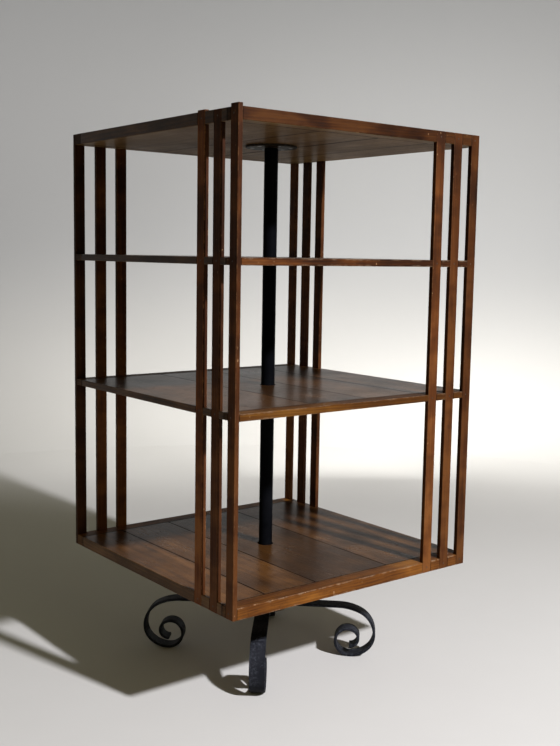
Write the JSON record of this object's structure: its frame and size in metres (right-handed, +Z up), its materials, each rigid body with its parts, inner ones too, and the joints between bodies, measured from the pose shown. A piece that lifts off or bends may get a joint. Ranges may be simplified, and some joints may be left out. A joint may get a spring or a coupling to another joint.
{
  "type": "revolving bookcase",
  "caption": "Square open revolving bookcase: planked panels and shelves between flat slats, turning on a round column over forged scroll legs.",
  "frame": {"origin": "on the floor, on the column's axis", "axes": "+Z up along the column; +X and +Y square to the case's sides at rest. In the picture's view the case's nearest corner points to -X -Y."},
  "size_m": [0.54, 0.54, 1.001],
  "materials": {
    "panel_wood": "satin",
    "slat_wood": "satin",
    "black_iron": "satin",
    "plate_iron": "satin",
    "steel": "satin"
  },
  "bodies": {
    "base": {"column": "black_iron", "pivot_plug": "steel", "thrust_ball": "steel", "hub_plate_upper": "black_iron", "hub_plate_lower": "black_iron", "hub_rivets": "black_iron", "leg_front": "black_iron", "leg_right": "black_iron", "leg_rear": "black_iron", "leg_left": "black_iron"},
    "case": {"bottom_plank_1": "panel_wood", "bottom_plank_2": "panel_wood", "bottom_plank_3": "panel_wood", "bottom_plank_4": "panel_wood", "bottom_strip_far": "panel_wood", "bottom_strip_near": "panel_wood", "guide_plate": "plate_iron", "guide_plate_screws": "steel", "lower_plank_1": "panel_wood", "lower_plank_2": "panel_wood", "lower_plank_3": "panel_wood", "lower_plank_4": "panel_wood", "lower_strip_far": "panel_wood", "lower_strip_near": "panel_wood", "nails_bottom": "steel", "nails_lower": "steel", "nails_top": "steel", "nails_upper": "steel", "pivot_pin": "steel", "post_far_left": "slat_wood", "post_far_right": "slat_wood", "post_near_left": "slat_wood", "post_near_right": "slat_wood", "slat_inner_far_left": "slat_wood", "slat_inner_far_right": "slat_wood", "slat_inner_near_left": "slat_wood", "slat_inner_near_right": "slat_wood", "slat_outer_far_left": "slat_wood", "slat_outer_far_right": "slat_wood", "slat_outer_near_left": "slat_wood", "slat_outer_near_right": "slat_wood", "top_plank_1": "panel_wood", "top_plank_2": "panel_wood", "top_plank_3": "panel_wood", "top_plank_4": "panel_wood", "top_plate": "plate_iron", "top_plate_screws": "steel", "top_strip_far": "panel_wood", "top_strip_near": "panel_wood", "upper_plank_1": "panel_wood", "upper_plank_2": "panel_wood", "upper_plank_3": "panel_wood", "upper_plank_4": "panel_wood", "upper_strip_far": "panel_wood", "upper_strip_near": "panel_wood"}
  },
  "joints": [
    {"name": "case_turn", "type": "hinge", "parent": "base", "child": "case", "pos_m": [0, 0, 0.97], "axis": [0, 0, 1], "continuous": true}
  ]
}
